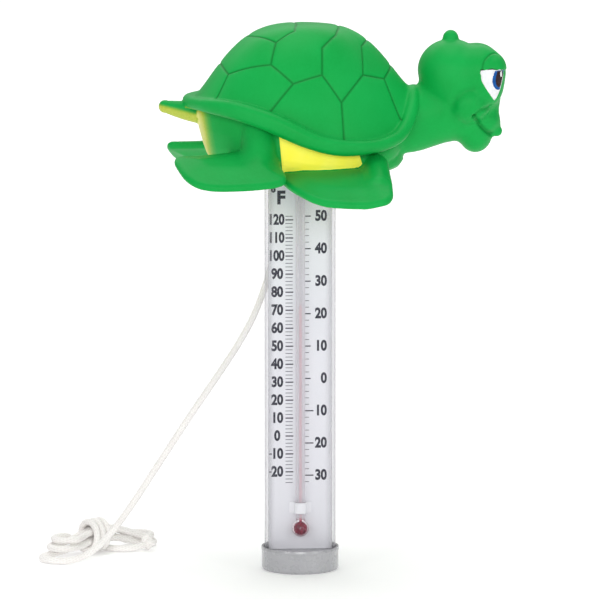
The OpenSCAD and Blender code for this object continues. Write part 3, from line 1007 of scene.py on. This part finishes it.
def spray_paint(x, y, z, parts, own):
    """How much yellow is sprayed on: at the rear, round the belly, under the tail and under the rim."""
    rear = smooth((-x - 34.5 + (194 - z) * 0.17) / 9.5) ** 2.2
    rear *= smooth((198 - z) / 4) * (parts["body"] < 0.6)
    low = smooth((171.6 - z) / 2.2) * smooth((own - 0.1) / 0.8)
    tail = smooth((195.2 + (-x - 48) * 0.24 - z) / 2.2 + 0.35)
    tail *= (parts["tail"] < 0.5) * smooth((-x - 41) / 3)
    rim_low = rim_heights(np.abs(np.arctan2(y / RIM_B, (x - SHELL_X) / RIM_A)))[0]
    rim = smooth((rim_low + 0.6 - z) / 1.6) * (parts["shell"] < 0.4) * smooth((-x - 22) / 14)
    return np.clip(np.maximum.reduce([rear, 0.6 * low, 0.68 * tail, 0.7 * rim]), 0, 1)


def add_turtle():
    """A net on the turtle's surface, finer along its lines, then carved and painted."""
    lines = {"plate": plate_points()}
    for name, line in (("mouth", MOUTH), ("crease", CREASE), ("cheek", CHEEK), ("lid", LID)):
        lines[name] = fold_points(line)
    verts, faces = first_net(0.8)
    fine = [lines[name] for name in ("plate", "mouth", "crease", "lid")]
    levels = [(1.7, 0.45), (1.1, 0.24)]
    obj = from_bmesh("turtle", refined(verts, faces, fine, levels))
    mesh = obj.data
    co = np.array([v.co for v in mesh.vertices])
    normal = np.array([v.normal for v in mesh.vertices])
    away = {name: line_distance(co, line) for name, line in lines.items()}
    away["plate"][co[:, 2] <= DOME_LOW] = FAR
    co, parts = carved(co, normal, away)
    mesh.vertices.foreach_set("co", (co * MM).astype(np.float32).reshape(-1))
    others = np.minimum.reduce([parts[name] for name in ("rear", "front", "shell", "head")])
    own = others - parts["body"]
    x, y, z = co[:, 0], np.abs(co[:, 1]), co[:, 2]
    # The groove attribute carries painted shade along the plate grooves and the head's folds
    add_attribute(mesh, "groove", np.clip(marks(away, SHADES), 0, 1))
    add_attribute(mesh, "belly", belly_paint(x, y, z, own))
    add_attribute(mesh, "spray", spray_paint(x, y, z, parts, own))
    shade_smooth(mesh)
    mesh.update()
    place(obj, vinyl_material(), "float")
    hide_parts("turtle_float")
    return obj


# ---- eyes: paint laid on the head
def paint_points(outline, spacing, inset):
    """A flat net of triangles inside an outline, and each point's distance from the edge."""
    edge = np.asarray(outline, float)
    spans = (np.arange(edge[:, k].min(), edge[:, k].max(), spacing) for k in (0, 1))
    across, up = np.meshgrid(*spans)
    kept = outline_distance(across, up, edge) < -inset
    points = np.concatenate([edge, np.column_stack([across[kept], up[kept]])])
    count = len(edge)
    ring = [(i, (i + 1) % count) for i in range(count)]
    vectors = [Vector(p) for p in points]
    flat, _, triangles, *_ = delaunay_2d_cdt(vectors, ring, [list(range(count))], 1, 1e-5)
    flat = np.array([tuple(p) for p in flat])
    return flat, triangles, -outline_distance(flat[:, 0], flat[:, 1], edge)


def decal(name, tree, origin, facing, outline, lift):
    """A thin closed layer of paint that follows the surface under a flat outline."""
    n = Vector(facing).normalized()
    right = Vector((0, 0, 1)).cross(n).normalized()
    top = n.cross(right)
    flat, triangles, depth = paint_points(outline, 0.4, 0.22)
    upper, lower = [], []
    for (u, v), d in zip(flat, depth):
        start = Vector(origin) + right * u + top * v + n * 30
        hit, normal, _, _ = tree.ray_cast(start * MM, -n)
        hit = hit / MM
        upper.append(hit + normal * lift * min(1.0, 0.35 + abs(float(d)) / 0.5))
        lower.append(hit - normal * 0.35)
    m = len(upper)
    edges = {(t[i - 1], t[i]) for t in triangles for i in range(len(t))}
    faces = [tuple(t) for t in triangles] + [tuple(m + i for i in reversed(t)) for t in triangles]
    faces += [(a, a + m, b + m, b) for a, b in sorted(edges) if (b, a) not in edges]
    mesh = bpy.data.meshes.new(name)
    mesh.from_pydata([p * MM for p in upper + lower], [], faces)
    bm = bmesh.new()
    bm.from_mesh(mesh)
    bpy.data.meshes.remove(mesh)
    bmesh.ops.recalc_face_normals(bm, faces=bm.faces)
    obj = from_bmesh(name, bm)
    shade_smooth(obj.data)
    return obj


def oval(cx, cy, rx, ry, count=36):
    turns = [2 * math.pi * k / count for k in range(count)]
    return [(cx + rx * math.cos(a), cy + ry * math.sin(a)) for a in turns]


def leftward(p, a, b):
    """How far p lies to the left of the line from a to b, times its length."""
    return (b[0] - a[0]) * (p[1] - a[1]) - (b[1] - a[1]) * (p[0] - a[0])


def clipped(outline, fence):
    """The part of a convex outline inside another convex one, both anticlockwise."""
    out = list(outline)
    for a, b in zip(fence, fence[1:] + fence[:1]):
        new = []
        for p, q in zip(out[-1:] + out[:-1], out):
            here, there = leftward(p, a, b), leftward(q, a, b)
            if (here >= 0) != (there >= 0):
                t = here / (here - there)
                new.append((p[0] + t * (q[0] - p[0]), p[1] + t * (q[1] - p[1])))
            if there >= 0:
                new.append(q)
        out = new
    apart_by = 0.05
    kept = []
    for p in out:
        if not kept or math.dist(p, kept[-1]) > apart_by:
            kept.append(p)
    return kept


def handed(outline, flip):
    """The outline as it is, or swapped left to right and still anticlockwise."""
    return outline if flip > 0 else [(-a, b) for a, b in reversed(outline)]


# Outlines of the eye's white and of the dark line over it, and the way the near eye looks from the front
WHITE = [(-7.2, 6.4), (-7.3, 4.3), (-7.0, 2.3), (-5.9, -0.1), (-4.4, -2.5), (-2.4, -4.7), (0.1, -6.5),
         (0.9, -4.0), (1.8, -1.0), (2.4, 1.9), (2.7, 4.4), (2.5, 6.2), (0.4, 6.5), (-3.6, 6.6)]
LASH = [(-7.4, 6.0), (-3.6, 6.2), (2.4, 6.0), (2.3, 6.6), (0.4, 6.95), (-3.6, 7.05), (-7.3, 6.85)]
EYE_TURN = math.radians(38)


def add_eyes(turtle):
    mesh = turtle.data
    tree = BVHTree.FromPolygons([v.co for v in mesh.vertices], [tuple(p.vertices) for p in mesh.polygons])
    white = [tuple(p) for p in spline_points(WHITE, 2, closed=True)]
    layers = [
        ("line", LASH, 0.05, (0.008, 0.02, 0.01), (0.014, 0.035, 0.018), 0.4),
        ("white", white, 0.1, (0.8, 0.82, 0.84), (0.88, 0.89, 0.9), 0.3),
        ("iris", clipped(oval(0.3, 2.6, 4.0, 4.9), white), 0.14,
         (0.0, 0.06, 0.27), (0.004, 0.11, 0.4), 0.3),
        ("pupil", clipped(oval(0.2, 2.9, 2.5, 4.1), white), 0.18,
         (0.012, 0.007, 0.012), (0.045, 0.014, 0.014), 0.3),
        ("glint", clipped(oval(0.85, 4.5, 0.9, 1.5), white), 0.22,
         (0.92, 0.92, 0.92), (0.96, 0.96, 0.96), 0.2),
    ]
    paints = [paint_material(f"eye_{part}", *colours) for part, _, _, *colours in layers]
    for tag, hand in (("near", -1), ("far", 1)):
        origin = (79.2, hand * 11.2, 205.6)
        facing = (math.cos(EYE_TURN), hand * math.sin(EYE_TURN), 0.04)
        for (part, outline, lift, *_), paint in zip(layers, paints):
            piece = decal(f"eye_{part}_{tag}", tree, origin, facing, handed(outline, -hand), lift)
            place(piece, paint, "float")


turtle = add_turtle()
add_eyes(turtle)


# ---- printed scale
# Height of -20 F, height of one degree F, and height of the letters
SCALE_LOW, DEGREE = 41.4, 0.764
LETTER_Z = 157.5


def height_f(f):
    return SCALE_LOW + (f + 20) * DEGREE


def height_c(c):
    return height_f(c * 1.8 + 32)


def add_bars(name, bars, card_y, material):
    """Flat bars on the card: each from x0 to x1 at a height, with its thickness."""
    bm = bmesh.new()
    front, back = card_y - 0.025, card_y + 0.01
    for x0, x1, z, thick in bars:
        corners = itertools.product((x0, x1), (front, back), (z - thick / 2, z + thick / 2))
        v = [bm.verts.new(Vector(p) * MM) for p in corners]
        for f in ((0, 1, 3, 2), (4, 6, 7, 5), (0, 4, 5, 1), (2, 3, 7, 6), (0, 2, 6, 4), (1, 5, 7, 3)):
            bm.faces.new([v[i] for i in f])
    bmesh.ops.recalc_face_normals(bm, faces=bm.faces)
    place(from_bmesh(name, bm), material, "tube")


def label(text, size, x, z, card_y, align, squeeze):
    """A text object on the card, narrowed by squeeze."""
    curve = bpy.data.curves.new("label", "FONT")
    curve.body = text
    curve.size = size * MM
    curve.align_x = align
    curve.align_y = "CENTER"
    curve.offset = 0.044 * size * MM
    curve.extrude = 0.012 * MM
    curve.resolution_u = 4
    obj = linked("label", curve)
    obj.rotation_euler = (math.radians(90), 0, 0)
    obj.location = (x * MM, (card_y - 0.012) * MM, z * MM)
    obj.scale = (squeeze, 1, 1)
    return obj


def add_numerals(card_y, material):
    """The numerals, the letters and their degree rings, joined into one mesh."""
    labels = []
    for f in range(-20, 121, 10):
        middle, squeeze = (-10.1, 0.76) if f > 99 else (-9.7, 0.82)
        labels.append(label(str(abs(f)), 6.0, middle, height_f(f), card_y, "CENTER", squeeze))
    for c in range(-30, 51, 10):
        labels.append(label(str(abs(c)), 6.0, 11.2, height_c(c), card_y, "RIGHT", 0.82))
    for letter, x, ring_x in (("F", -8.1, -11.3), ("C", 8.6, 5.1)):
        labels.append(label(letter, 7.6, x, LETTER_Z, card_y, "CENTER", 1.0))
        labels.append(label("°", 6.6, ring_x, LETTER_Z + 1.6, card_y, "CENTER", 0.9))
    bpy.context.view_layer.update()
    depsgraph = bpy.context.evaluated_depsgraph_get()
    bm = bmesh.new()
    for text in labels:
        part = bpy.data.meshes.new_from_object(text.evaluated_get(depsgraph))
        part.transform(text.matrix_world)
        bm.from_mesh(part)
        bpy.data.meshes.remove(part)
    for text in labels:
        bpy.data.objects.remove(text)
    bmesh.ops.remove_doubles(bm, verts=bm.verts, dist=1e-6)
    place(from_bmesh("scale_numerals", bm), material, "tube")


def add_scale_print():
    """Ticks every 2 degrees, longer and thicker every 10, with numerals and the minus signs."""
    card_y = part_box("scale_card")[0].y / MM
    material = ink_material()
    ticks = []
    for f in range(-26, 123, 2):
        reach, thick = (-2.9, 0.5) if f % 10 == 0 else (-3.2, 0.24)
        ticks.append((-6.2, reach, height_f(f), thick))
    for c in range(-32, 51, 2):
        reach, thick = (4.4, 0.48) if c % 10 == 0 else (3.7, 0.22)
        ticks.append((2.1, reach, height_c(c), thick))
    add_bars("scale_ticks", ticks, card_y, material)
    add_numerals(card_y, material)
    dashes = [(-13.2, -12.0, height_f(f), 0.6) for f in (-20, -10)]
    dashes += [(4.4, 5.6, height_c(c), 0.5) for c in (-30, -20, -10)]
    add_bars("scale_dashes", dashes, card_y, material)


add_scale_print()


# ---- thread of spirit
def add_thread():
    """The thread of spirit, with a rounded top; in the real thermometer its end at the bulb stays and its
    top moves.
    """
    low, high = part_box("spirit_column")
    y = (low.y + high.y) / 2 / MM
    bottom, top, radius = low.z / MM, high.z / MM, (high.x - low.x) / 2 / MM
    rings, sides, tip = 60, 16, 0.985
    share = np.linspace(0, 1, rings + 1)[:, None]
    over = np.clip((share - tip) / (1 - tip), 0, 1)
    r = np.maximum(radius * np.sqrt(1 - over**2), 0.05)
    angle = np.arange(sides) * 2 * math.pi / sides
    height = bottom + (top - bottom) * share
    spots = np.broadcast_arrays(r * np.cos(angle), y + r * np.sin(angle), height)
    obj = skin("spirit_thread", np.stack(spots, axis=-1))
    dress(obj, thread_material())
    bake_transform(obj)
    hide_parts("spirit_column")


add_thread()


# ---- CAD nodes that stay, with their materials
def dress_nodes():
    clip = plain_plastic("clip_plastic", (0.86, 0.86, 0.87), (0.9, 0.9, 0.91), 0.4)
    looks = {
        "float_collar": plain_plastic("collar_green", (0.01, 0.3, 0.06), (0.015, 0.36, 0.08), 0.3),
        "collar_o_ring": plain_plastic("seal_rubber", (0.012, 0.012, 0.012), (0.03, 0.03, 0.03), 0.55),
        "outer_tube": clear_material("clear_tube", (0.45, 0.44, 0.47), 0.02, 0.85, 0.25, 0.25),
        "tube_top_plug": plain_plastic("plug_white", (0.7, 0.71, 0.72), (0.76, 0.77, 0.78), 0.35),
        "scale_card": card_material(),
        "upper_stem_clip": clip,
        "lower_stem_clip": clip,
        "glass_stem_and_bulb": stem_material(),
        "bulb_spirit": spirit_material(),
        "ballast_weight": steel_material(),
        "end_cap": plain_plastic(
            "cap_vinyl", (0.33, 0.33, 0.35), (0.41, 0.41, 0.43), 0.28, 400, 0.03,
            Coat_Weight=0.5, Coat_Roughness=0.22, Specular_IOR_Level=0.9,
        ),
    }
    for name, material in looks.items():
        dress(nodes[name], material)


dress_nodes()


# ---- studio
def add_lamp(name, spot, target, width, height, power):
    data = bpy.data.lights.new(name, "AREA")
    data.shape = "RECTANGLE"
    data.size, data.size_y = width, height
    data.energy = power
    obj = linked(name, data)
    obj.location = spot
    obj.rotation_euler = (Vector(target) - Vector(spot)).to_track_quat("-Z", "Y").to_euler()


def add_studio():
    """A pale floor, a white world and five soft lamps."""
    reach = 4.0
    corners = [(-reach, -reach, 0), (reach, -reach, 0), (reach, reach, 0), (-reach, reach, 0)]
    mesh = bpy.data.meshes.new("floor")
    mesh.from_pydata(corners, [], [(0, 1, 2, 3)])
    floor = linked("floor", mesh)
    n = Nodes("floor_pale")
    n.shader((0.93, 0.93, 0.93), 0.9, Emission_Color=(1, 1, 1, 1), Emission_Strength=0.18)
    dress(floor, n.material)
    world = bpy.data.worlds.new("studio")
    scene.world = world
    world.use_nodes = True
    background = world.node_tree.nodes["Background"]
    background.inputs[0].default_value = (1, 1, 1, 1)
    background.inputs[1].default_value = 0.42
    add_lamp("top", (0.0, 0.0, 1.7), (0, 0, 0.15), 1.0, 1.0, 8.5)
    add_lamp("front", (-0.15, -2.8, 0.95), (0, 0, 0.15), 1.4, 0.5, 18)
    add_lamp("left", (-1.15, -1.25, 0.65), (0, 0, 0.2), 0.55, 1.3, 5)
    add_lamp("right", (1.1, -1.15, 0.65), (0, 0, 0.2), 0.45, 1.3, 4)
    add_lamp("back", (0.0, 2.3, 1.9), (0, 2.4, 0), 3.6, 2.4, 45)
    scene.view_settings.view_transform = "Standard"
    scene.view_settings.look = "None"


add_studio()
